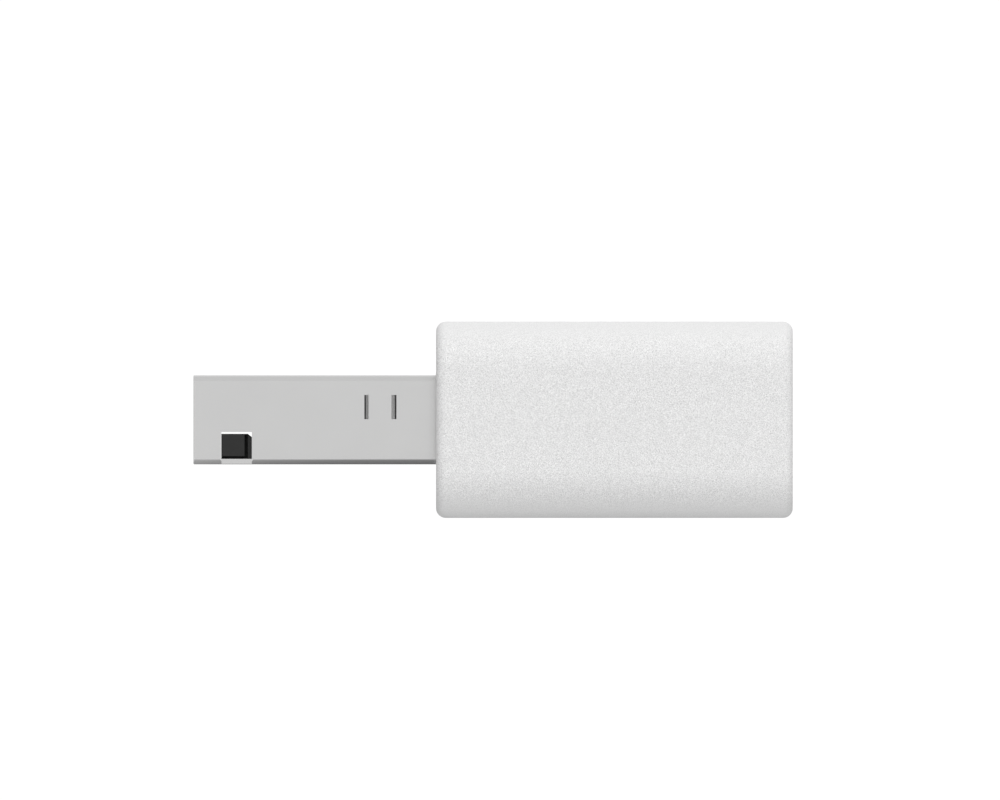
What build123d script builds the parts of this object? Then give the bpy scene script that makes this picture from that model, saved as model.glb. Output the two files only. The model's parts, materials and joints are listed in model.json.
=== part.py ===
from build123d import *
import os

# USB Wi-Fi adapter. A folded steel USB-A plug stands out of a white housing. The housing is one
# sleeve, closed at its mouth by a bezel that snaps in, so its sides show no parting line. Inside,
# a circuit board slides on rails. Nothing on the adapter moves in use.
#
# Units are millimetres. The origin is the middle of the plug where it leaves the housing's front
# face. +X runs from the plug to the housing's rear, +Y across the width, and +Z up, which is the
# side that the plug's contacts face.

# Plug
shell_width = 12.0
shell_height = 4.5
sheet = 0.27  # the shell's steel
shell_fold = 0.29  # outside radius of the shell's folds
plug_reach = 12.23  # tip to the housing's front face
shell_tail = 6.3  # the shell's length inside the housing
mating_depth = 8.58  # tip to the end of the opening for the socket's tongue
mating_gap = 1.95  # height of that opening
tongue_setback = 0.38  # the shell's edge to the tongue's end
tongue_chamfer = 0.3
tongue_gap = 0.005  # under the tongue, which rests on the shell
contact_width = 1.0
contact_thickness = 0.25
contact_proud = 0.03  # the contacts stand this far out of the tongue
channel_headroom = 0.03  # over a contact where it passes through the block
contact_bend = 0.2
contact_step = (0.2, 0.75)  # where a contact steps down, behind the block
tail_start = 0.8  # where it narrows, before the block's end
tail_width = 0.7
tail_end = 8.1
outer_contact_y = 3.5
inner_contact_y = 1.0
block_radius = 0.05
hollow_length = 3.2  # of the two hollows in the block's rear, which keep its walls even
hollow_inset = 0.9  # from the plug's middle and from the block's side
hollow_bottom = 0.75
hollow_roof = 0.4  # the block's thickness over a hollow
outer_contact_length = 7.41  # what shows of the contacts that mate first
inner_contact_length = 6.41

# Features of the shell. Distances along it are counted from the tip.
window_start = 5.16
window_length = 2.3
window_width = 2.5
window_corner = 0.25
window_y = 2.85
latch_window = (1.42, 2.95)
latch_window_height = 1.36
latch_window_ease = (0.07, 0.03)  # its upright edges' bevel: along the shell, and deep
boss_face = (1.45, 2.58)  # the latch boss's flat face
boss_groove = 0.17  # the groove behind the boss
boss_clearance = 0.15  # the gap under it
groove_depth = 1.2
relief_drop = 0.09  # the window's top edge to the boss's top
relief_height = 0.26  # the slit through the tongue above the bosses
relief_slope = (0.2, 0.16)  # the fall of the slit's lower side at the window's rear end
lance_x = (8.622, 10.237)  # outer ends of the two slots, with the retaining strip between them
slot_width = 0.25  # at the shell's outside
slot_floor = 0.07  # width further in, where the strip's edge has stopped sloping
slot_slope = 0.15  # how deep that slope goes
slot_z = (0.03, 1.25)
strip_bump = 0.15  # how far the strip's bump reaches into the moulding
bump_inset = 0.2  # from the slots' ends to the bump's
window_bevel = 0.05  # round the upper and lower windows
tip_radius = 0.06
dovetail_starts = (1.9, 9.3)
dovetail_depth = 1.0
seam_gap = 0.05
leg_x = (3.4, 5.4)
leg_y = 6.8  # middle of the leg's pin
leg_bend = 0.2
leg_clearance = 0.15  # beside the leg, where the wall is cut away over it
pin_width = 1.2
pin_reach = 0.45  # how far the pin stands out below the board

# Housing
housing_length = 17.98
housing_width = 18.0
housing_height = 9.9
housing_corner = 2.3  # radius round the long edges
end_radius = 0.5  # radius round the two ends
wall = 1.2
bezel_thickness = 1.4
bezel_recess = 0.05
bezel_edge = 0.12  # radius of the bezel's edge, and the chamfer of the mouth that it sits in
aperture_chamfer = 0.1
latch_y = (2.2, 5.2)  # the bezel's latch arms, on each side
latch_thickness = 0.8
latch_end = 5.2
latch_hook = 0.3
hook_length = 0.75
latch_gap = 0.1  # between an arm and the sleeve
pocket_gap = 0.15  # round a hook in its pocket
rail_start = 3.0
rail_depth = 0.6
rail_height = 0.8
stop_y = (3.5, 6.5)  # where the board's rear edge meets the housing
bezel_stop_y = (6.3, 7.3)  # where its front edges meet the bezel
pipe_x = 12.9  # middle of the light pipe
pipe_slot = (2.4, 0.9)  # the slot that it fills: length across the housing, and width
pipe_flange = 1.0  # how much longer and wider its flange is
pipe_flange_depth = 0.6
pipe_wall = 0.55  # the ring round the flange
pipe_foot = 0.55  # height of its lower end
stop_height = 0.6  # how far the stops behind the board reach past its faces

# Circuit board and what stands on it
board_top = -0.55
board_thickness = 1.0
board_width = 15.2
board_front = 2.2
board_back = 16.45
notch_back = 6.5  # the notch that the plug's tail lies in
pad_thickness = 0.05
pad_x = (6.8, 8.3)
pad_width = 1.0
shield_x = (8.3, 14.1)
shield_y = (-5.0, 5.0)
shield_height = 1.2
shield_sheet = 0.15
shield_corner = 0.4
shield_rim = 0.8  # the frame's rim, turned inwards
lid_skirt = 0.35  # the lid's edge stops this far from the board
air_hole = 0.3  # radius
air_hole_pitch = 1.6
antenna_x = (14.7, 16.3)
antenna_y = (2.2, 7.0)
antenna_z = 2.8
antenna_sheet = 0.2
antenna_apron = 0.9  # depth of the antenna's folded rear edge
antenna_leg_width = 0.8
antenna_leg_pitch = 2.0
antenna_foot = 0.6

# Components, with places along and across the board
wifi_chip_place = (11.2, -1.3)
wifi_chip_width = 5.0
wifi_chip_height = 0.85
thermal_pad_width = 3.7
memory_chip_place = (10.0, 4.9)
memory_chip_width = 2.4
memory_chip_height = 0.6
crystal_place = (11.2, 3.2)
crystal_size = (2.5, 2.0)
crystal_heights = (0.35, 0.5)  # the case's top and the lid's
protection_place = (10.2, 0.0)
regulator_place = (10.2, -5.2)
inductor_place = (13.2, -4.9)
inductor_size = (2.5, 2.0)
inductor_height = 1.2
led_size = (1.6, 0.8)
led_heights = (0.25, 0.6)  # the base's top and the lens's
capacitor_height = 0.5
resistor_height = 0.35
chip_part_size = (1.0, 0.5)

# Clearances
touch_gap = 0.02  # between pieces that are pressed together
slide_gap = 0.05  # between pieces that slide together
overlap = 0.1  # how far shapes reach into each other before they are joined or cut

# Places that follow from the sizes above
tip = -plug_reach
inner_y = shell_width / 2 - sheet
inner_z = shell_height / 2 - sheet
tongue_top = inner_z - mating_gap
block_front = tip + mating_depth
block_back = shell_tail - 0.9
contact_top = tongue_top + contact_proud
contact_bottom = contact_top - contact_thickness
board_bottom = board_top - board_thickness
pad_top = board_top + pad_thickness
cavity_y = housing_width / 2 - wall
cavity_z = housing_height / 2 - wall
cavity_back = housing_length - wall
cavity_corner = housing_corner - wall
lid_inside = board_bottom - shield_height - touch_gap
leg_middle = sum(leg_x) / 2
leg_half = (leg_x[1] - leg_x[0]) / 2

# Each contact's place across the plug, and how much of it shows
contact_rows = {
    "contact_power": (-outer_contact_y, outer_contact_length),
    "contact_data_minus": (-inner_contact_y, inner_contact_length),
    "contact_data_plus": (inner_contact_y, inner_contact_length),
    "contact_ground": (outer_contact_y, outer_contact_length),
}


def span(x, y, z):
    """A box, from its low and high ends along each axis."""
    middle = [sum(ends) / 2 for ends in (x, y, z)]
    return Pos(*middle) * Box(x[1] - x[0], y[1] - y[0], z[1] - z[0])


def both_sides(shape):
    """The shape and its mirror image across the middle of the adapter's width."""
    return shape + mirror(shape, about=Plane.XZ)


def tube_end(x, width, height, radius):
    """A rounded rectangle across the adapter, at x."""
    return Plane.YZ.offset(x) * RectangleRounded(width, height, radius)


def slot_prism(x, z, length, width):
    """An upright prism with round ends, long across the adapter and in the middle of its width."""
    outline = SlotOverall(length, width, rotation=90)
    return Pos(x, 0, z[0]) * extrude(outline, z[1] - z[0])


def rounded_block(length, width, z, radius):
    """A block round the Z axis with rounded upright edges."""
    return Pos(0, 0, z[0]) * extrude(RectangleRounded(length, width, radius), z[1] - z[0])


def bent_strip(plane, points, radius, thickness, half_width):
    """Sheet metal bent along points in a plane, reaching half_width to each side of it."""
    path = FilletPolyline(*points, radius=radius)
    return extrude(plane * trace(path, thickness), amount=half_width, both=True)


# Housing


def pipe_collar():
    """A ring inside the housing's top that locates the light pipe's flange."""
    length, width = (size + pipe_flange + 2 * slide_gap for size in pipe_slot)
    z = (cavity_z - pipe_flange_depth, cavity_z + overlap)
    ring = slot_prism(pipe_x, z, length + 2 * pipe_wall, width + 2 * pipe_wall)
    return ring - slot_prism(pipe_x, z, length, width)


def rails():
    """Ribs above and below the board's side edges, with lead-ins, and the stops behind the board."""
    lead_in = 0.4
    x = (rail_start, cavity_back)
    y = (cavity_y - rail_depth, cavity_y + overlap)
    over = board_top + slide_gap
    under = board_bottom - slide_gap
    upper = span(x, y, (over, over + rail_height))
    lower = span(x, y, (under - rail_height, under))
    upper_nose = upper.edges().filter_by(Axis.Y).group_by(Axis.X)[0].sort_by(Axis.Z)[0]
    lower_nose = lower.edges().filter_by(Axis.Y).group_by(Axis.X)[0].sort_by(Axis.Z)[-1]
    stop_x = (board_back + slide_gap, cavity_back + overlap)
    stop = span(stop_x, stop_y, (board_bottom - stop_height, board_top + stop_height))
    return both_sides(chamfer(upper_nose, lead_in) + chamfer(lower_nose, lead_in) + stop)


def latch_pockets():
    """Blind pockets in the sleeve's top and bottom that the bezel's hooks drop into."""
    pocket = span(
        (latch_end - hook_length - latch_gap, latch_end + pocket_gap),
        (latch_y[0] - pocket_gap, latch_y[1] + pocket_gap),
        (cavity_z - overlap, cavity_z + latch_hook + slide_gap),
    )
    return both_sides(pocket + mirror(pocket, about=Plane.XY))


def housing_sleeve():
    """The one-piece outer sleeve, open at the plug's end."""
    body = extrude(tube_end(0, housing_width, housing_height, housing_corner), housing_length)
    body = fillet(body.faces().filter_by(Axis.X).edges(), end_radius)
    body -= extrude(tube_end(0, 2 * cavity_y, 2 * cavity_z, cavity_corner), cavity_back)
    mouth = body.faces().sort_by(Axis.X)[0].inner_wires()[0].edges()
    body = chamfer(mouth, bezel_edge)
    pipe_hole = slot_prism(pipe_x, (cavity_z - 1, housing_height), *pipe_slot)
    return body + rails() + pipe_collar() - pipe_hole - latch_pockets()


def latch_arm():
    """One upper latch arm of the bezel, with its hook."""
    high = cavity_z - latch_gap
    low = high - latch_thickness
    root = bezel_thickness - overlap
    hook = latch_end - hook_length
    bevel = 0.2
    side = Polyline(
        (root, low),
        (latch_end - bevel, low),
        (latch_end, low + bevel),
        (latch_end, high - bevel / 2),
        (hook, high + latch_hook),
        (hook, high),
        (root, high),
        close=True,
    )
    half_width = (latch_y[1] - latch_y[0]) / 2
    arm = extrude(Plane.XZ * make_face(side), half_width, both=True)
    return Pos(0, sum(latch_y) / 2, 0) * arm


def front_bezel():
    """The plate that closes the sleeve's mouth round the plug, with latch arms and board stops."""
    width = 2 * (cavity_y - slide_gap)
    height = 2 * (cavity_z - slide_gap)
    corner = cavity_corner - slide_gap
    plate = extrude(tube_end(bezel_recess, width, height, corner), bezel_thickness)
    plate = fillet(plate.faces().sort_by(Axis.X)[0].edges(), bezel_edge)
    arm = latch_arm()
    arms = arm + mirror(arm, about=Plane.XY)
    stop_x = (bezel_thickness, board_front - slide_gap)
    stop = span(stop_x, bezel_stop_y, (board_bottom, board_top))
    grown = 2 * slide_gap
    aperture = tube_end(0, shell_width + grown, shell_height + grown, shell_fold + slide_gap)
    bezel = plate + both_sides(arms + stop) - extrude(aperture, 2 * bezel_thickness)
    rim = bezel.faces().sort_by(Axis.X)[0].inner_wires()[0].edges()
    return chamfer(rim, aperture_chamfer)


def light_pipe():
    """The clear piece that carries the status light to the housing's top."""
    length, width = (size - 2 * touch_gap for size in pipe_slot)
    stem = slot_prism(pipe_x, (pipe_foot, housing_height / 2 - touch_gap), length, width)
    stem = fillet(stem.edges().group_by(Axis.Z)[-1], 0.08)
    flange_z = (cavity_z - pipe_flange_depth, cavity_z - touch_gap)
    return stem + slot_prism(pipe_x, flange_z, length + pipe_flange, width + pipe_flange)


# Plug


def seam_cut():
    """The seam along the middle of the shell's underside, with two dovetails that lock it."""
    neck = 1.7
    flare = 0.25
    beyond = 1.0
    points = [(tip - beyond, 0)]
    for start in dovetail_starts:
        x = tip + start
        points += [
            (x, 0),
            (x - flare, -dovetail_depth),
            (x + neck + flare, -dovetail_depth),
            (x + neck, 0),
        ]
    points.append((shell_tail + beyond, 0))
    path = FilletPolyline(*points, radius=0.15)
    cut = extrude(trace(path, seam_gap), sheet + 2 * overlap)
    return Pos(0, 0, -shell_height / 2 - overlap) * cut


def shell_leg():
    """One leg, folded out of the side wall to lie on the board and then down through it."""
    wall_middle = inner_y + sheet / 2
    level = board_top + sheet / 2
    end = board_bottom - pin_reach
    path = [(wall_middle, 0.3), (wall_middle, level), (leg_y, level), (leg_y, end)]
    leg = bent_strip(Plane.YZ, path, leg_bend, sheet, leg_half)
    beside_pin = span((pin_width / 2, leg_half + 1), (leg_y - 0.6, leg_y + 0.6), (end, board_top))
    beside_pin += mirror(beside_pin, about=Plane.YZ)
    return Pos(leg_middle, 0, 0) * (leg - beside_pin)


def lance_slot(outer, inward):
    """A slot in the +Y wall from its outer end at x, with inward 1 or -1 towards the strip.

    The strip's edge slopes down to the slot's narrow floor.
    """
    surface = shell_width / 2
    wide, narrow = (outer + inward * width for width in (slot_width, slot_floor))
    section = Polyline(
        (outer, surface + overlap),
        (wide, surface + overlap),
        (wide, surface),
        (narrow, surface - slot_slope),
        (narrow, inner_y - overlap),
        (outer, inner_y - overlap),
        close=True,
    )
    return Pos(0, 0, slot_z[0]) * extrude(make_face(section), slot_z[1] - slot_z[0])


def latch_window_cut():
    """The latch window in the +Y wall. It runs out through the fold, down to the bottom's edge."""
    surface = shell_width / 2
    front, back = (tip + x for x in latch_window)
    along, deep = latch_window_ease
    section = Polyline(
        (front, inner_y - overlap),
        (front, surface - deep),
        (front - along, surface),
        (front - along, surface + overlap),
        (back + along, surface + overlap),
        (back + along, surface),
        (back, surface - deep),
        (back, inner_y - overlap),
        close=True,
    )
    height = latch_window_height + shell_height - inner_z
    opening = Pos(0, 0, -shell_height) * extrude(make_face(section), height)
    bottom_y = (inner_y - 2 * overlap, inner_y + overlap)
    return opening - span((front, back), bottom_y, (-2 * shell_height, -inner_z))


def shell_side_cuts():
    """What is cut out of the shell's +Y wall: latch window, lance slots, and room for the leg."""
    cuts = latch_window_cut() + lance_slot(tip + lance_x[0], 1) + lance_slot(tip + lance_x[1], -1)
    leg_room = (leg_x[0] - leg_clearance, leg_x[1] + leg_clearance)
    return cuts + span(leg_room, (inner_y - 1, shell_width), (-shell_height, board_top))


def flat_window_edges(shell):
    """The outer edges of the upper and lower windows, which are eased for the socket's springs."""
    after_windows = tip + window_start + window_length + overlap
    found = []
    for edge in shell.edges():
        middle = edge.center()
        on_flat = abs(abs(middle.Z) - shell_height / 2) < 1e-3 and abs(middle.Y) < inner_y - 1
        if on_flat and tip + window_start - overlap < middle.X < after_windows:
            found.append(edge)
    return found


def plug_shell():
    """The steel shell, folded from one sheet."""
    length = plug_reach + shell_tail
    shell = extrude(tube_end(tip, shell_width, shell_height, shell_fold), length)
    shell = fillet(shell.faces().sort_by(Axis.X)[0].edges(), tip_radius)
    shell -= extrude(tube_end(tip, 2 * inner_y, 2 * inner_z, shell_fold - sheet), length)

    outline = RectangleRounded(window_length, window_width, window_corner)
    window = extrude(outline, shell_height, both=True)
    shell -= both_sides(Pos(tip + window_start + window_length / 2, window_y) * window)
    shell = chamfer(flat_window_edges(shell), window_bevel)
    shell -= both_sides(shell_side_cuts())

    strip = (tip + lance_x[0] + slot_width, tip + lance_x[1] - slot_width)
    bump_z = (slot_z[0] + bump_inset, slot_z[1] - bump_inset)
    bump = span(strip, (inner_y - strip_bump, inner_y + overlap), bump_z)
    return shell + both_sides(bump + shell_leg()) - seam_cut()


def latch_boss():
    """A boss on the tongue's side that stands in the shell's latch window."""
    x = [tip + end for end in boss_face]
    y = (inner_y - groove_depth, shell_width / 2 - slide_gap)
    bottom = boss_clearance - inner_z
    return span(x, y, (bottom, latch_window_height - inner_z))


def boss_grooves():
    """The groove that parts the boss from the tongue's side behind it and below it."""
    front, back = (tip + end for end in boss_face)
    y = (inner_y - groove_depth, inner_y)
    below = boss_clearance - inner_z
    top = latch_window_height - inner_z
    groove = span((back, back + boss_groove), y, (-inner_z, top))
    return groove + span((front, back + overlap), y, (-inner_z, below))


def boss_relief():
    """A slit through the tongue from side to side. It frees the bosses' tops, so that they give."""
    front, back = (tip + x for x in latch_window)
    level = latch_window_height - inner_z - relief_drop
    run, fall = relief_slope
    beyond = 0.5 * run
    outline = Polyline(
        (front - beyond, level),
        (back - run, level),
        (back + beyond, level - 1.5 * fall),
        (back + beyond, level + relief_height),
        (front - beyond, level + relief_height),
        close=True,
    )
    return extrude(Plane.XZ * make_face(outline), shell_width, both=True)


def contact_channels():
    """The channels that the contacts lie in, along the tongue and through the block."""
    channels = []
    for y, length in contact_rows.values():
        x = (block_front - length - slide_gap, block_back)
        half = contact_width / 2 + touch_gap
        z = (contact_bottom, contact_top + channel_headroom)
        channels.append(span(x, (y - half, y + half), z))
    return channels


def plug_insulator():
    """The black moulding: a tongue for the contacts, and a block that fills the shell behind it."""
    side = inner_y - touch_gap
    top = inner_z - touch_gap
    tongue_z = (tongue_gap - inner_z, tongue_top)
    tongue = span((tip + tongue_setback, block_front), (-side, side), tongue_z)
    upper_edge = tongue.edges().filter_by(Axis.Y).group_by(Axis.X)[0].sort_by(Axis.Z)[-1]
    tongue = chamfer(upper_edge, tongue_chamfer)
    tongue = chamfer(tongue.edges().filter_by(Axis.Z).group_by(Axis.X)[0], tongue_chamfer)
    block = span((block_front, block_back), (-side, side), (-top, top))
    block = fillet(block.edges().filter_by(Axis.X), block_radius)
    hollow = span(
        (block_back - hollow_length, block_back),
        (hollow_inset, side - hollow_inset),
        (hollow_bottom, top - hollow_roof),
    )
    seat_x = (tip + lance_x[0] + slot_width - slide_gap, tip + lance_x[1] - slot_width + slide_gap)
    lance_seat = span(seat_x, (inner_y - strip_bump - slide_gap, side), slot_z)
    body = tongue + block - both_sides(hollow + lance_seat + boss_grooves())
    return body + both_sides(latch_boss()) - boss_relief() - contact_channels()


def plug_contact(y, length):
    """A contact: flat on the tongue, through the block, and stepped down to its pad."""
    level = contact_top - contact_thickness / 2
    foot = pad_top + contact_thickness / 2
    step = [block_back + x for x in contact_step]
    path = [(block_front - length, level), (step[0], level), (step[1], foot), (tail_end, foot)]
    strip = bent_strip(Plane.XZ, path, contact_bend, contact_thickness, contact_width / 2)
    nose = strip.edges().filter_by(Axis.Y).group_by(Axis.X)[0].sort_by(Axis.Z)[-1]
    strip = chamfer(nose, contact_thickness / 2)
    tail_x = (block_back - tail_start, tail_end + overlap)
    beside_tail = span(tail_x, (tail_width / 2, contact_width), (-1, 1))
    return Pos(0, y, 0) * (strip - both_sides(beside_tail))


# Circuit board


def circuit_board():
    """The board, with a notch for the plug's tail and slots for the shell's legs."""
    outline = RectangleRounded(board_back - board_front, board_width, 0.5)
    notch_length = notch_back - board_front
    notch = RectangleRounded(2 * notch_length, shell_width + 0.2, 0.4)
    face = Pos((board_back + board_front) / 2, 0) * outline - Pos(board_front, 0) * notch
    leg_slot = SlotOverall(pin_width + 0.5, 0.6)
    face -= [Pos(leg_middle, side * leg_y) * leg_slot for side in (-1, 1)]
    return Pos(0, 0, board_bottom) * extrude(face, board_thickness)


def contact_pads():
    """The copper pads under the contacts' tails."""
    half = pad_width / 2
    z = (board_top, pad_top)
    return [span(pad_x, (y - half, y + half), z) for y, _ in contact_rows.values()]


def leg_solder():
    """The cones of solder round the legs' pins under the board."""
    height = pin_reach - 0.1
    base = Rectangle(pin_width + 0.7, sheet + 0.7)
    top = Pos(0, 0, -height) * Rectangle(pin_width + 0.15, sheet + 0.15)
    pin = Box(pin_width, sheet, 2 * board_thickness)
    cone = loft([base, top]) - pin
    return [Pos(leg_middle, side * leg_y, board_bottom) * cone for side in (-1, 1)]


def shield_frame():
    """The soldered frame of the can under the board, with a rim turned inwards."""
    bottom = board_bottom - shield_height
    frame = span(shield_x, shield_y, (bottom, board_bottom))
    frame = fillet(frame.edges().filter_by(Axis.Z), shield_corner)
    hollow_x = (shield_x[0] + shield_sheet, shield_x[1] - shield_sheet)
    hollow_y = (shield_y[0] + shield_sheet, shield_y[1] - shield_sheet)
    frame -= span(hollow_x, hollow_y, (bottom + shield_sheet, board_bottom))
    opening_x = (shield_x[0] + shield_rim, shield_x[1] - shield_rim)
    opening_y = (shield_y[0] + shield_rim, shield_y[1] - shield_rim)
    opening = span(opening_x, opening_y, (bottom - 1, board_bottom))
    return frame - fillet(opening.edges().filter_by(Axis.Z), shield_corner)


def shield_lid():
    """The lid pressed over the frame, with a grid of air holes."""
    reach = touch_gap + shield_sheet
    outside = [(low - reach, high + reach) for low, high in (shield_x, shield_y)]
    inside = [(low - touch_gap, high + touch_gap) for low, high in (shield_x, shield_y)]
    lid = span(*outside, (lid_inside - shield_sheet, board_bottom - lid_skirt))
    lid = fillet(lid.edges().filter_by(Axis.Z), shield_corner + reach)
    lid = fillet(lid.faces().sort_by(Axis.Z)[0].edges(), 0.1)
    hollow = span(*inside, (lid_inside, board_bottom))
    lid -= fillet(hollow.edges().filter_by(Axis.Z), shield_corner + touch_gap)
    middle = Pos(sum(shield_x) / 2, sum(shield_y) / 2, lid_inside)
    hole = Cylinder(air_hole, 1)
    grid = GridLocations(air_hole_pitch, air_hole_pitch, 3, 5)
    return lid - [middle * spot * hole for spot in grid]


# Components. Each is drawn standing on z = 0 round the Z axis, and then placed on the board.


def above(x, y, turn=0):
    """A place on the board's top, turned about the vertical."""
    return Pos(x, y, board_top) * Rot(0, 0, turn)


def below(x, y, turn=0):
    """A place under the board, upside down."""
    return Pos(x, y, board_bottom) * Rot(180, 0, turn)


def flat_package(width, height, pad_count, pitch):
    """A square leadless package, as (resin, pads), with a row of pads along each side."""
    half = width / 2
    corner = 0.05
    dimple_spot = half - 0.7
    pad_length, pad_half_width, pad_height = (0.4, 0.12, 0.2)
    resin = rounded_block(width, width, (touch_gap, height), corner)
    resin = chamfer(resin.edges().group_by(Axis.Z)[-1], 0.8 * corner)
    resin -= Pos(-dimple_spot, dimple_spot, height) * Cylinder(0.3, 0.1)
    row = [(i - (pad_count - 1) / 2) * pitch for i in range(pad_count)]
    pads = []
    for turn in (0, 90, 180, 270):
        for y in row:
            pad_y = (y - pad_half_width, y + pad_half_width)
            pad = span((half - pad_length, half), pad_y, (0, pad_height))
            pads.append(Rot(0, 0, turn) * pad)
    return resin - pads, pads


def leaded_package(front_leads, back_leads):
    """A small package as (resin, leads). Each lead bends down to the board at its place along X."""
    length, half, height, standoff = (2.9, 0.8, 1.1, 0.1)
    corner = 0.15
    resin = rounded_block(length, 2 * half, (standoff, height), corner)
    resin = chamfer(resin.edges().group_by(Axis.Z)[-1], 0.8 * corner)
    thickness = 0.14
    level, foot = (0.6, thickness / 2)
    path = [(half, level), (half + 0.22, level), (half + 0.3, foot), (half + 0.65, foot)]
    lead = bent_strip(Plane.YZ, path, 0.08, thickness, 0.2)
    leads = [Pos(x, 0, 0) * lead for x in back_leads]
    leads += [Rot(0, 0, 180) * Pos(-x, 0, 0) * lead for x in front_leads]
    return resin, leads


def wifi_chip():
    """The radio chip, on the board's underside inside the shield."""
    resin, pads = flat_package(wifi_chip_width, wifi_chip_height, 10, 0.42)
    place = below(*wifi_chip_place)
    return {"wifi_chip": place * resin, "wifi_chip_pads": [place * pad for pad in pads]}


def memory_chip():
    """The chip that holds the adapter's calibration."""
    resin, pads = flat_package(memory_chip_width, memory_chip_height, 4, 0.5)
    place = above(*memory_chip_place)
    return {"memory_chip": place * resin, "memory_chip_pads": [place * pad for pad in pads]}


def thermal_pad():
    """The soft pad that carries the chip's heat to the shield's lid."""
    height = board_bottom - wifi_chip_height - lid_inside - 2 * touch_gap
    pad = rounded_block(thermal_pad_width, thermal_pad_width, (0, height), 0.1)
    return Pos(*wifi_chip_place, lid_inside + touch_gap) * pad


def crystal():
    """The crystal that clocks the chip: a ceramic case with a metal lid."""
    place = below(*crystal_place)
    length, width = crystal_size
    lip = 0.4
    case = rounded_block(length, width, (0, crystal_heights[0]), 0.1)
    lid = rounded_block(length - lip, width - lip, crystal_heights, 0.15)
    return {"crystal_case": place * case, "crystal_lid": place * lid}


def usb_protection():
    """The surge protection on the data lines."""
    resin, leads = leaded_package((-0.95, 0, 0.95), (-0.95, 0, 0.95))
    place = above(*protection_place)
    return {
        "usb_protection": place * resin,
        "usb_protection_leads": [place * lead for lead in leads],
    }


def voltage_regulator():
    """The supply for the chip."""
    resin, leads = leaded_package((-0.95, 0, 0.95), (-0.95, 0.95))
    place = above(*regulator_place)
    return {
        "voltage_regulator": place * resin,
        "voltage_regulator_leads": [place * lead for lead in leads],
    }


def power_inductor():
    """A moulded coil, with a flat terminal under each end."""
    place = above(*inductor_place, 90)
    length, width = inductor_size
    terminal_length, terminal_height = (0.4, 0.14)
    core = rounded_block(length, width, (0.1, inductor_height), 0.2)
    core = chamfer(core.edges().group_by(Axis.Z)[-1], 0.08)
    terminals = []
    for side in (-1, 1):
        spot = Pos(side * 1.0, 0, terminal_height / 2)
        core -= spot * Box(terminal_length + 0.1, width - 0.2, terminal_height + touch_gap)
        terminals.append(spot * Box(terminal_length, width - 0.4, terminal_height))
    return {
        "power_inductor": place * core,
        "inductor_terminals": [place * terminal for terminal in terminals],
    }


def status_led():
    """A surface-mount light under the light pipe, with a half-round notch at each terminal."""
    place = above(pipe_x, 0, 90)
    half_length, half_width = (size / 2 for size in led_size)
    notch = Cylinder(0.18, 2)
    base = span((-half_length, half_length), (-half_width, half_width), (0, led_heights[0]))
    base -= [Pos(end, 0, 0) * notch for end in (-half_length, half_length)]
    lens = rounded_block(led_size[0] - 0.6, led_size[1] - touch_gap, led_heights, 0.1)
    lens = fillet(lens.edges().group_by(Axis.Z)[-1], 0.08)
    return {"status_led": place * base, "led_lens": place * lens}


def chip_part(height, places):
    """Small two-ended parts at places, as (bodies, end caps)."""
    length, width = chip_part_size
    cap_length = 0.22
    half = length / 2 - cap_length
    inset = 0.01  # the body lies this far inside its caps' outline
    body_y = (inset - width / 2, width / 2 - inset)
    body = span((-half, half), body_y, (inset, height - inset))
    cap = rounded_block(cap_length, width, (0, height), 0.05)
    ends = [Pos(side * (length - cap_length) / 2, 0, 0) * cap for side in (-1, 1)]
    return [place * body for place in places], [place * end for place in places for end in ends]


def chip_parts():
    """The board's small capacitors and resistors."""
    in_row = (0, 1.1, 2.2)
    capacitor_places = [above(8.0, side * 6.2, 90) for side in (-1, 1)]
    capacitor_places += [above(14.85, -6.0 + along, 90) for along in in_row]
    capacitor_places += [above(12.2, 3.4 + along) for along in in_row]
    capacitor_places += [below(x, y, 90) for x in (9.1, 13.3) for y in (2.4, 3.7)]
    resistor_places = [above(12.2, side * 2.2) for side in (-1, 1)]
    resistor_places += [above(14.4, side * 1.2, 90) for side in (-1, 1)]
    resistor_places += [below(7.5, side * 1.5, 90) for side in (-1, 1)]
    capacitors, capacitor_ends = chip_part(capacitor_height, capacitor_places)
    resistors, resistor_ends = chip_part(resistor_height, resistor_places)
    return {
        "capacitors": capacitors,
        "capacitor_ends": capacitor_ends,
        "resistors": resistors,
        "resistor_ends": resistor_ends,
    }


def antenna():
    """The +Y side's stamped antenna: a folded plate over the board's rear on two narrow legs."""
    rear = (antenna_x[1] - antenna_sheet, antenna_x[1])
    plate = span(antenna_x, antenna_y, (antenna_z - antenna_sheet, antenna_z))
    plate += span(rear, antenna_y, (antenna_z - antenna_apron, antenna_z))
    fold = plate.edges().filter_by(Axis.Y).group_by(Axis.X)[-1].sort_by(Axis.Z)[-1]
    shape = fillet(fold, 0.15)
    foot_x = (rear[0] - antenna_foot, rear[1])
    for start in (antenna_y[0], antenna_y[0] + antenna_leg_pitch):
        y = (start, start + antenna_leg_width)
        shape += span(rear, y, (board_top, antenna_z - antenna_sheet))
        shape += span(foot_x, y, (board_top, board_top + antenna_sheet))
    return shape


def grouped(pieces):
    """One shape from one solid or a list of separate solids."""
    if not isinstance(pieces, list):
        return pieces
    return Compound([solid for piece in pieces for solid in piece.solids()])


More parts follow.
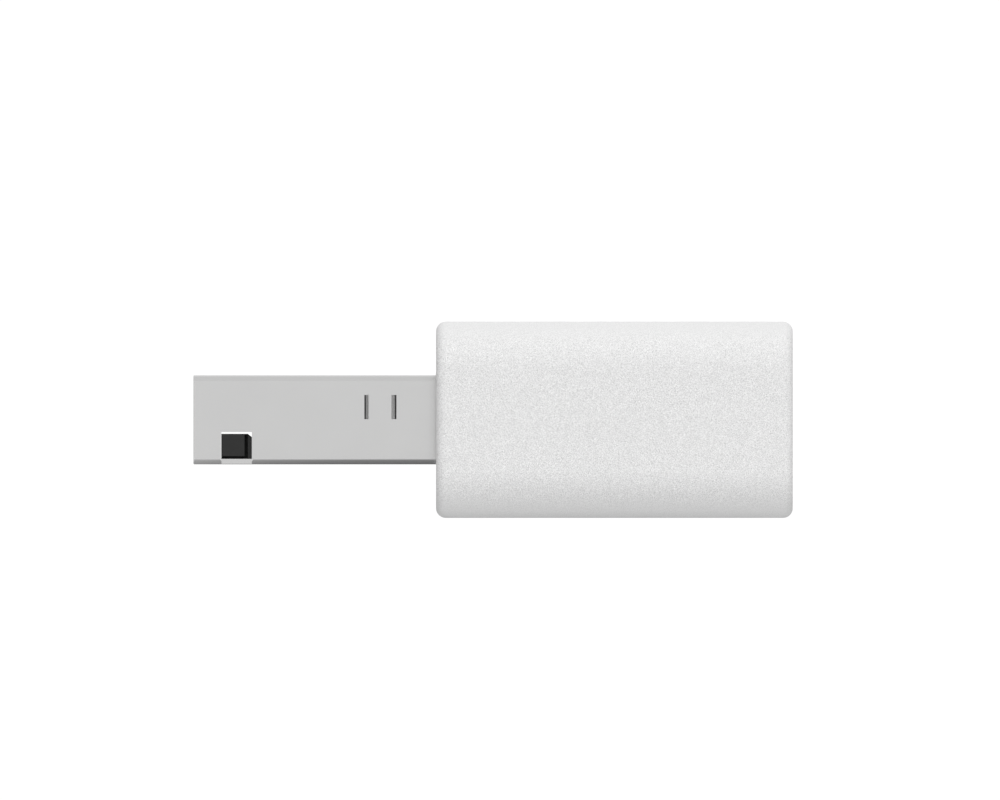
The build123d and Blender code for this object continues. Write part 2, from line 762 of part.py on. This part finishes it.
def model():
    """Every piece of the adapter, by the name of its node."""
    nodes = {
        "housing_sleeve": housing_sleeve(),
        "front_bezel": front_bezel(),
        "light_pipe": light_pipe(),
        "plug_shell": plug_shell(),
        "plug_insulator": plug_insulator(),
        "circuit_board": circuit_board(),
        "contact_pads": contact_pads(),
        "leg_solder": leg_solder(),
        "shield_frame": shield_frame(),
        "shield_lid": shield_lid(),
        "thermal_pad": thermal_pad(),
        "antenna_left": antenna(),
        "antenna_right": mirror(antenna(), about=Plane.XZ),
    }
    for name, (y, length) in contact_rows.items():
        nodes[name] = plug_contact(y, length)
    nodes |= wifi_chip() | memory_chip() | crystal() | usb_protection()
    nodes |= voltage_regulator() | power_inductor() | status_led() | chip_parts()
    return {name: grouped(pieces) for name, pieces in nodes.items()}


os.makedirs("parts", exist_ok=True)
for name, shape in model().items():
    export_step(shape, f"parts/{name}.step")
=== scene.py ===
import json
import bpy
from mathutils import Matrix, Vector


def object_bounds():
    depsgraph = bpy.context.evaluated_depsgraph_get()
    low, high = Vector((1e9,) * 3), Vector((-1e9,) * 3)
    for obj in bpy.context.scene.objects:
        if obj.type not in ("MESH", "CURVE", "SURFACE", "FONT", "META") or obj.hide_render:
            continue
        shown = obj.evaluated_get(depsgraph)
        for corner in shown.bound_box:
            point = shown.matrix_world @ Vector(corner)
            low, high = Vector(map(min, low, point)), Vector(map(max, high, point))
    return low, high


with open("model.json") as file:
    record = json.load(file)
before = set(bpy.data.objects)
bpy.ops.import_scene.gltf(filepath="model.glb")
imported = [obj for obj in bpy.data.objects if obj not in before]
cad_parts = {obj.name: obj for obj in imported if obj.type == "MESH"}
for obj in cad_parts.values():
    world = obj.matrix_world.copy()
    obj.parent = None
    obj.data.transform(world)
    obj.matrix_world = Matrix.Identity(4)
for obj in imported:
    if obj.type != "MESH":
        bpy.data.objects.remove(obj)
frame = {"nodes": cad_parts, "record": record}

cad_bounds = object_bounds()

MM = 0.001  # everything below is worked out in metres

# The camera's view of the adapter, square on to its narrow side
view_width = 50.39 * MM
view_middle = Vector((3.225, 0.0, 0.995)) * MM
camera_distance = 0.5

# Light levels, where 1.0 would show a white surface at full white
world_all = 0.05
world_fore = 2.14
world_up = 0.92
world_reflected = (0.84, 1.15)  # towards the plug's end, and towards the housing's
world_behind = 0.45  # added to that, up behind the adapter
world_seen = 1.05
floor_fill = 0.60
floor_reflected_painted_shadow = (0.16, 0.85)  # glow seen in reflections: dark near the adapter as a painted shadow, and brighter further out
painted_shadow_fade = (8 * MM, 30 * MM)  # how far from its middle the painted shadow turns into the brighter glow
floor_seen = 0.5

# The floor's paint, as it lights other things and as the camera sees it
floor_white = (0.12, 0.9)
floor_reach = 4.0

softbox_place = (0.12, -0.22, 0.33)  # from the middle of the view
softbox_size = 0.25
softbox_power = 0.5


# Node helpers. Textures are placed by object coordinates turned into millimetres.


class Finish:
    """A material under construction: its principled shader, and the textures that feed it."""

    def __init__(self, name, color, roughness, metallic=0.0, **sockets):
        self.material = bpy.data.materials.new(name)
        self.material.use_nodes = True
        self.tree = self.material.node_tree
        self.shader = self.tree.nodes["Principled BSDF"]
        self.shader.inputs["Base Color"].default_value = (*color, 1)
        self.shader.inputs["Roughness"].default_value = roughness
        self.shader.inputs["Metallic"].default_value = metallic
        for socket, value in sockets.items():
            self.shader.inputs[socket.replace("_", " ")].default_value = value
        self.place = self.node("ShaderNodeTexCoord").outputs["Object"]
        self.height = None

    def node(self, kind, **settings):
        node = self.tree.nodes.new(kind)
        for key, value in settings.items():
            setattr(node, key, value)
        return node

    def link(self, output, socket):
        self.tree.links.new(output, socket)

    def stretched(self, scale, turn=(0, 0, 0)):
        """Object coordinates in millimetres, times a scale along each axis, and turned."""
        mapping = self.node("ShaderNodeMapping", vector_type="POINT")
        mapping.inputs["Scale"].default_value = [s / MM for s in scale]
        mapping.inputs["Rotation"].default_value = turn
        self.link(self.place, mapping.inputs["Vector"])
        return mapping.outputs["Vector"]

    def noise(self, scale, detail=2.0, rough=0.5, stretch=(1, 1, 1), turn=(0, 0, 0)):
        """Noise with about scale lumps to the millimetre, from 0 to 1."""
        noise = self.node("ShaderNodeTexNoise")
        noise.inputs["Scale"].default_value = scale
        noise.inputs["Detail"].default_value = detail
        noise.inputs["Roughness"].default_value = rough
        self.link(self.stretched(stretch, turn), noise.inputs["Vector"])
        return noise.outputs["Fac"]

    def cells(self, scale, stretch=(1, 1, 1)):
        """The distance to the middle of each of about scale cells to the millimetre."""
        cells = self.node("ShaderNodeTexVoronoi")
        cells.inputs["Scale"].default_value = scale
        self.link(self.stretched(stretch), cells.inputs["Vector"])
        return cells.outputs["Distance"]

    def between(self, value, low, high, start=0.3, end=0.7):
        """A value from start to end, turned into one from low to high."""
        ranged = self.node("ShaderNodeMapRange")
        ranged.inputs["From Min"].default_value = start
        ranged.inputs["From Max"].default_value = end
        ranged.inputs["To Min"].default_value = low
        ranged.inputs["To Max"].default_value = high
        self.link(value, ranged.inputs["Value"])
        return ranged.outputs["Result"]

    def calmer(self, value, start, end, by):
        """A value that comes nearer to 0.5 from start to end above or below the origin."""
        axes = self.node("ShaderNodeSeparateXYZ")
        self.link(self.place, axes.inputs["Vector"])
        off = self.node("ShaderNodeMath", operation="ABSOLUTE")
        self.link(axes.outputs["Z"], off.inputs[0])
        mix = self.node("ShaderNodeMix", data_type="FLOAT")
        self.link(self.between(off.outputs["Value"], 0, by, start, end), mix.inputs["Factor"])
        self.link(value, mix.inputs["A"])
        mix.inputs["B"].default_value = 0.5
        return mix.outputs["Result"]

    def vary_color(self, value, dark, light, start=0.3, end=0.7):
        """The base colour runs from dark to light with the value."""
        mix = self.node("ShaderNodeMix", data_type="RGBA")
        mix.inputs["A"].default_value = (*dark, 1)
        mix.inputs["B"].default_value = (*light, 1)
        self.link(self.between(value, 0, 1, start, end), mix.inputs["Factor"])
        self.link(mix.outputs["Result"], self.shader.inputs["Base Color"])
        return self

    def vary_roughness(self, value, low, high):
        self.link(self.between(value, low, high), self.shader.inputs["Roughness"])
        return self

    def bump(self, value, depth, strength=1.0):
        """Adds relief as deep as depth, on top of any relief already there."""
        bump = self.node("ShaderNodeBump")
        bump.inputs["Strength"].default_value = strength
        bump.inputs["Distance"].default_value = depth
        self.link(value, bump.inputs["Height"])
        if self.height:
            self.link(self.height, bump.inputs["Normal"])
        self.height = bump.outputs["Normal"]
        self.link(self.height, self.shader.inputs["Normal"])
        return self


def grey(value, warmth=0.0):
    """A neutral colour, slightly warm or cool."""
    return (value * (1 + warmth), value, value * (1 - warmth))


# Materials, one for each of the record's slots


def housing_plastic():
    """White moulded plastic with a fine spark-eroded grain."""
    finish = Finish("housing_plastic", grey(0.84), 0.5, IOR=1.46)
    finish.shader.inputs["Specular IOR Level"].default_value = 0.4
    askew = (0.5, 0.7, 0.3)  # so that no face is level with the noise's grid
    grain = finish.noise(24.0, detail=1.0, rough=0.6, turn=askew)
    grain = finish.calmer(grain, 3.8 * MM, 4.6 * MM, 0.6)
    finish.vary_color(grain, grey(0.57), grey(0.99))
    finish.vary_roughness(finish.noise(3.0), 0.45, 0.6)
    finish.bump(grain, 0.010 * MM)
    return finish.material


def light_pipe_plastic():
    """Milky clear plastic, smooth on top."""
    finish = Finish("light_pipe_plastic", grey(0.84), 0.22, IOR=1.49)
    finish.shader.inputs["Transmission Weight"].default_value = 0.35
    finish.vary_color(finish.noise(1.5), grey(0.80), grey(0.88))
    finish.bump(finish.noise(2.0), 0.002 * MM)
    return finish.material


def plated_steel():
    """Rolled steel with satin nickel plating. The rolling lines run along the plug."""
    finish = Finish("plated_steel", grey(0.64), 0.2, 1.0)
    lines = finish.noise(1.0, detail=4.0, rough=0.65, stretch=(0.5, 16, 16))
    clouds = finish.noise(0.6, detail=3.0)
    finish.vary_color(clouds, grey(0.635, 0.002), grey(0.645, 0.002))
    finish.vary_roughness(lines, 0.17, 0.24)
    finish.bump(lines, 0.0004 * MM)
    return finish.material


def insulator_plastic():
    """Black glass-filled nylon, moulded against polished steel."""
    finish = Finish("insulator_plastic", grey(0.012), 0.42)
    finish.shader.inputs["Specular IOR Level"].default_value = 0.4
    mottle = finish.noise(4.0, detail=4.0, rough=0.6, stretch=(0.5, 1, 1))
    finish.vary_color(mottle, grey(0.010), grey(0.015))
    finish.vary_roughness(mottle, 0.38, 0.5)
    finish.bump(mottle, 0.004 * MM)
    return finish.material


def gold(name, light, dark, roughness):
    """Gold plating with faint wiping marks along the plug."""
    finish = Finish(name, light, roughness, 1.0)
    marks = finish.noise(1.0, detail=4.0, rough=0.7, stretch=(0.8, 22, 22))
    finish.vary_color(finish.noise(2.0), dark, light)
    finish.vary_roughness(marks, roughness - 0.06, roughness + 0.08)
    finish.bump(marks, 0.001 * MM)
    return finish.material


def contact_gold():
    return gold("contact_gold", (0.95, 0.72, 0.36), (0.90, 0.65, 0.30), 0.24)


def board_gold():
    return gold("board_gold", (0.93, 0.72, 0.42), (0.86, 0.64, 0.36), 0.34)


def board_laminate():
    """Glossy green solder mask over a glass weave."""
    finish = Finish("board_laminate", (0.012, 0.13, 0.05), 0.3)
    weave = finish.cells(3.2)
    finish.vary_color(weave, (0.010, 0.11, 0.042), (0.016, 0.16, 0.062), 0.1, 0.6)
    finish.vary_roughness(finish.noise(1.2), 0.26, 0.36)
    finish.bump(weave, 0.004 * MM)
    return finish.material


def matt_resin(name, dark, light, roughness=0.6):
    """Moulded resin or fired ceramic with a sandy grain."""
    finish = Finish(name, light, roughness)
    sand = finish.noise(12.0, detail=3.0, rough=0.7)
    finish.vary_color(sand, dark, light)
    finish.vary_roughness(finish.noise(3.0), roughness - 0.06, roughness + 0.06)
    finish.bump(sand, 0.005 * MM)
    return finish.material


def tin(name, value, roughness, warmth=0.0):
    """Tin or solder that has flowed and set, with a soft mottle."""
    finish = Finish(name, grey(value, warmth), roughness, 1.0)
    flow = finish.noise(5.0, detail=3.0)
    finish.vary_color(flow, grey(value * 0.9, warmth), grey(value * 1.05, warmth))
    finish.vary_roughness(flow, roughness - 0.07, roughness + 0.09)
    finish.bump(flow, 0.004 * MM)
    return finish.material


def thermal_silicone():
    """Soft filled silicone, slightly tacky and dimpled."""
    finish = Finish("thermal_silicone", (0.40, 0.43, 0.50), 0.7)
    dimples = finish.cells(6.0)
    finish.vary_color(dimples, (0.36, 0.39, 0.46), (0.44, 0.47, 0.54), 0.1, 0.6)
    finish.vary_roughness(finish.noise(3.0), 0.62, 0.78)
    finish.bump(dimples, 0.01 * MM)
    return finish.material


def led_lens_resin():
    """Yellowish phosphor gel under clear resin."""
    finish = Finish("led_lens_resin", (0.86, 0.72, 0.30), 0.18, IOR=1.53)
    finish.vary_color(finish.noise(6.0), (0.84, 0.68, 0.26), (0.90, 0.78, 0.38))
    finish.bump(finish.noise(3.0), 0.003 * MM)
    return finish.material


materials = {
    "housing_plastic": housing_plastic(),
    "light_pipe_plastic": light_pipe_plastic(),
    "plated_steel": plated_steel(),
    "insulator_plastic": insulator_plastic(),
    "contact_gold": contact_gold(),
    "board_gold": board_gold(),
    "board_laminate": board_laminate(),
    "chip_resin": matt_resin("chip_resin", grey(0.022), grey(0.038)),
    "tinned_metal": tin("tinned_metal", 0.66, 0.34),
    "shield_metal": tin("shield_metal", 0.62, 0.38, 0.01),
    "solder": tin("solder", 0.72, 0.2),
    "thermal_silicone": thermal_silicone(),
    "capacitor_ceramic": matt_resin("capacitor_ceramic", (0.34, 0.22, 0.13), (0.48, 0.33, 0.21)),
    "resistor_film": matt_resin("resistor_film", grey(0.02), grey(0.035), 0.35),
    "crystal_ceramic": matt_resin("crystal_ceramic", (0.50, 0.46, 0.38), (0.62, 0.57, 0.48)),
    "crystal_lid_metal": tin("crystal_lid_metal", 0.64, 0.28, 0.06),
    "inductor_ferrite": matt_resin("inductor_ferrite", grey(0.08), grey(0.13), 0.55),
    "led_base_plastic": matt_resin("led_base_plastic", grey(0.70, 0.02), grey(0.80, 0.02), 0.45),
    "led_lens_resin": led_lens_resin(),
    "antenna_metal": tin("antenna_metal", 0.66, 0.3, 0.01),
}
for part in frame["record"]["subparts"]:
    node = frame["nodes"][part["node"]]
    for slot in node.material_slots:
        slot.material = materials[part["material_slot"]]


# Stage


def light_path_mix(nodes, links, ray, other, chosen):
    """A number: chosen for one kind of ray, and other for the rest. Either may be a socket."""
    mix = nodes.new("ShaderNodeMix")
    mix.data_type = "FLOAT"
    path = nodes.new("ShaderNodeLightPath")
    links.new(path.outputs[ray], mix.inputs["Factor"])
    for name, value in (("A", other), ("B", chosen)):
        if isinstance(value, float):
            mix.inputs[name].default_value = value
        else:
            links.new(value, mix.inputs[name])
    return mix.outputs["Result"]


def studio_floor():
    """A plain white floor under the housing, lit from below so that shadows on it stay faint. In
    glossy reflections its glow is darker near the adapter, a painted shadow.
    """
    low, high = cad_bounds
    mesh = bpy.data.meshes.new("studio_floor")
    turns = [(-1, -1), (1, -1), (1, 1), (-1, 1)]
    corners = [(floor_reach * x, floor_reach * y, 0) for x, y in turns]
    mesh.from_pydata(corners, [], [(0, 1, 2, 3)])
    floor = bpy.data.objects.new("studio_floor", mesh)
    floor.location = ((low.x + high.x) / 2, (low.y + high.y) / 2, low.z)
    bpy.context.scene.collection.objects.link(floor)
    material = bpy.data.materials.new("studio_floor")
    material.use_nodes = True
    nodes, links = material.node_tree.nodes, material.node_tree.links
    nodes.clear()
    surface = nodes.new("ShaderNodeBsdfDiffuse")
    paint = nodes.new("ShaderNodeCombineColor")
    white = light_path_mix(nodes, links, "Is Camera Ray", *floor_white)
    for channel in paint.inputs:
        links.new(white, channel)
    links.new(paint.outputs["Color"], surface.inputs["Color"])
    place = nodes.new("ShaderNodeTexCoord").outputs["Object"]
    away = nodes.new("ShaderNodeVectorMath")
    away.operation = "LENGTH"
    links.new(place, away.inputs[0])
    # Painted shadow: the floor's glow, as glossy rays see it, is darker near the adapter's middle
    glossy_glow_painted_shadow = nodes.new("ShaderNodeMapRange")
    glossy_glow_painted_shadow.interpolation_type = "SMOOTHSTEP"
    glossy_glow_painted_shadow.inputs["From Min"].default_value, glossy_glow_painted_shadow.inputs["From Max"].default_value = painted_shadow_fade
    glossy_glow_painted_shadow.inputs["To Min"].default_value, glossy_glow_painted_shadow.inputs["To Max"].default_value = floor_reflected_painted_shadow
    links.new(away.outputs["Value"], glossy_glow_painted_shadow.inputs["Value"])
    glow = nodes.new("ShaderNodeEmission")
    bounced = light_path_mix(nodes, links, "Is Glossy Ray", floor_fill, glossy_glow_painted_shadow.outputs["Result"])
    seen = light_path_mix(nodes, links, "Is Camera Ray", bounced, floor_seen)
    links.new(seen, glow.inputs["Strength"])
    glow.inputs["Color"].default_value = (1, 1, 1, 1)
    add = nodes.new("ShaderNodeAddShader")
    links.new(surface.outputs["BSDF"], add.inputs[0])
    links.new(glow.outputs["Emission"], add.inputs[1])
    output = nodes.new("ShaderNodeOutputMaterial")
    links.new(add.outputs["Shader"], output.inputs["Surface"])
    mesh.materials.append(material)
    return floor


def studio_world():
    """White to the camera. Its light comes mostly from the front, from the back and from above."""
    world = bpy.data.worlds.new("studio_world")
    world.use_nodes = True
    bpy.context.scene.world = world
    nodes, links = world.node_tree.nodes, world.node_tree.links
    nodes.clear()

    def math(operation, a, b=None):
        node = nodes.new("ShaderNodeMath")
        node.operation = operation
        for socket, value in zip(node.inputs, (a, b)):
            if isinstance(value, float):
                socket.default_value = value
            elif value is not None:
                links.new(value, socket)
        return node.outputs["Value"]

    direction = nodes.new("ShaderNodeTexCoord").outputs["Generated"]
    axes = nodes.new("ShaderNodeSeparateXYZ")
    links.new(direction, axes.inputs["Vector"])
    fore = math("POWER", math("ABSOLUTE", axes.outputs["Y"]), 4.0)
    up = math("MAXIMUM", axes.outputs["Z"], 0.0)
    light = math("ADD", math("MULTIPLY", fore, world_fore), math("MULTIPLY", up, world_up))
    aside = math("SUBTRACT", 1.0, math("POWER", math("ABSOLUTE", axes.outputs["X"]), 2.0))
    light = math("ADD", math("MULTIPLY", light, aside), world_all)
    along = nodes.new("ShaderNodeMapRange")
    along.inputs["From Min"].default_value = 0.0
    along.inputs["To Min"].default_value, along.inputs["To Max"].default_value = world_reflected
    links.new(axes.outputs["X"], along.inputs["Value"])
    behind = math("MULTIPLY", math("MAXIMUM", axes.outputs["Y"], 0.0), up)
    reflected = math("ADD", along.outputs["Result"], math("MULTIPLY", behind, world_behind))
    light = light_path_mix(nodes, links, "Is Glossy Ray", light, reflected)
    background = nodes.new("ShaderNodeBackground")
    background.inputs["Color"].default_value = (1, 1, 1, 1)
    seen = light_path_mix(nodes, links, "Is Camera Ray", light, world_seen)
    links.new(seen, background.inputs["Strength"])
    output = nodes.new("ShaderNodeOutputWorld")
    links.new(background.outputs["Background"], output.inputs["Surface"])
    return world


def softbox(name, place, size, power):
    """A square area light at place, aimed at the middle of the view."""
    data = bpy.data.lights.new(name, "AREA")
    data.size = size
    data.energy = power
    light = bpy.data.objects.new(name, data)
    bpy.context.scene.collection.objects.link(light)
    light.visible_glossy = False
    light.location = view_middle + Vector(place)
    light.rotation_euler = (-Vector(place)).to_track_quat("-Z", "Y").to_euler()
    return light


def product_camera():
    """A view without perspective, as through a very long lens, square on to the narrow side."""
    data = bpy.data.cameras.new("product_camera")
    data.type = "ORTHO"
    data.ortho_scale = view_width
    data.clip_start = 0.01
    data.clip_end = 20.0
    camera = bpy.data.objects.new("product_camera", data)
    bpy.context.scene.collection.objects.link(camera)
    camera.location = view_middle - Vector((0, camera_distance, 0))
    camera.rotation_euler = Vector((0, 1, 0)).to_track_quat("-Z", "Y").to_euler()
    bpy.context.scene.camera = camera
    return camera


studio_floor()
studio_world()
softbox("key_softbox", softbox_place, softbox_size, softbox_power)
product_camera()
bpy.context.scene.view_settings.view_transform = "Standard"
bpy.context.scene.view_settings.look = "None"
